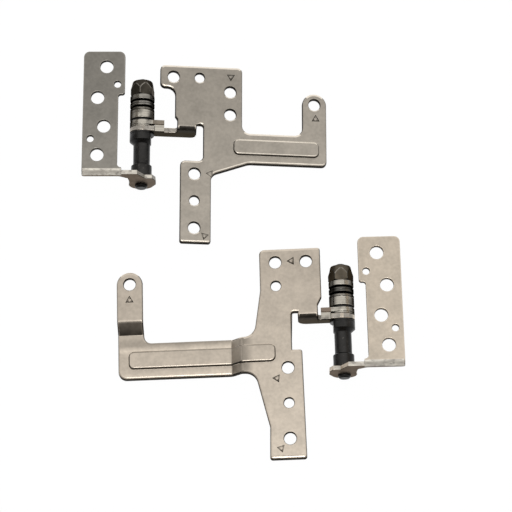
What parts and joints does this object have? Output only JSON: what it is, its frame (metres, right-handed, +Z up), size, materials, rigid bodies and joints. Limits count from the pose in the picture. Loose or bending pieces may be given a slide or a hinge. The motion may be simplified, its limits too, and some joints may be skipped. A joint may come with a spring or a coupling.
{
  "type": "pair of laptop hinges",
  "caption": "Left and right friction hinges for a laptop lid: stamped base plates and lid brackets joined by a turned shaft with a nut-loaded stack of washers.",
  "frame": {"origin": "centre of the pair's footprint, on the surface that it lies on", "axes": "+Z up, +Y along the left hinge's shaft towards its nut, +X across the shafts"},
  "size_m": [0.073, 0.0956, 0.011],
  "materials": {
    "plate_nickel": "satin nickel plated sheet steel",
    "lid_nickel": "satin nickel plated sheet steel",
    "black_steel": "black oxide with a film of grease",
    "spring_steel": "dark tempered steel",
    "washer_steel": "bright ground steel"
  },
  "bodies": {
    "base_plates": {"left_base_plate": "plate_nickel", "left_lug_washer": "washer_steel", "right_base_plate": "plate_nickel", "right_lug_washer": "washer_steel"},
    "left_lid": {"left_brake_disc": "washer_steel", "left_friction_disc": "washer_steel", "left_inner_spring": "spring_steel", "left_lid_bracket": "lid_nickel", "left_notched_washer": "washer_steel", "left_nut": "black_steel", "left_outer_spring": "spring_steel", "left_pressure_washer": "spring_steel", "left_shaft": "black_steel", "left_spacer_disc": "spring_steel", "left_thrust_washer": "black_steel"},
    "right_lid": {"right_brake_disc": "washer_steel", "right_friction_disc": "washer_steel", "right_inner_spring": "spring_steel", "right_lid_bracket": "lid_nickel", "right_notched_washer": "washer_steel", "right_nut": "black_steel", "right_outer_spring": "spring_steel", "right_pressure_washer": "spring_steel", "right_shaft": "black_steel", "right_spacer_disc": "spring_steel", "right_thrust_washer": "black_steel"}
  },
  "joints": [
    {"name": "left_lid_turn", "type": "hinge", "parent": "base_plates", "child": "left_lid", "pos_m": [-0.02323, 0.03156, 0.00285], "axis": [0, 1, 0], "range_deg": [-173, 6.5]},
    {"name": "right_lid_turn", "type": "hinge", "parent": "base_plates", "child": "right_lid", "pos_m": [0.02287, -0.01384, 0.00285], "axis": [-0.0262, 0.9997, 0], "range_deg": [-3, 176.5]}
  ]
}
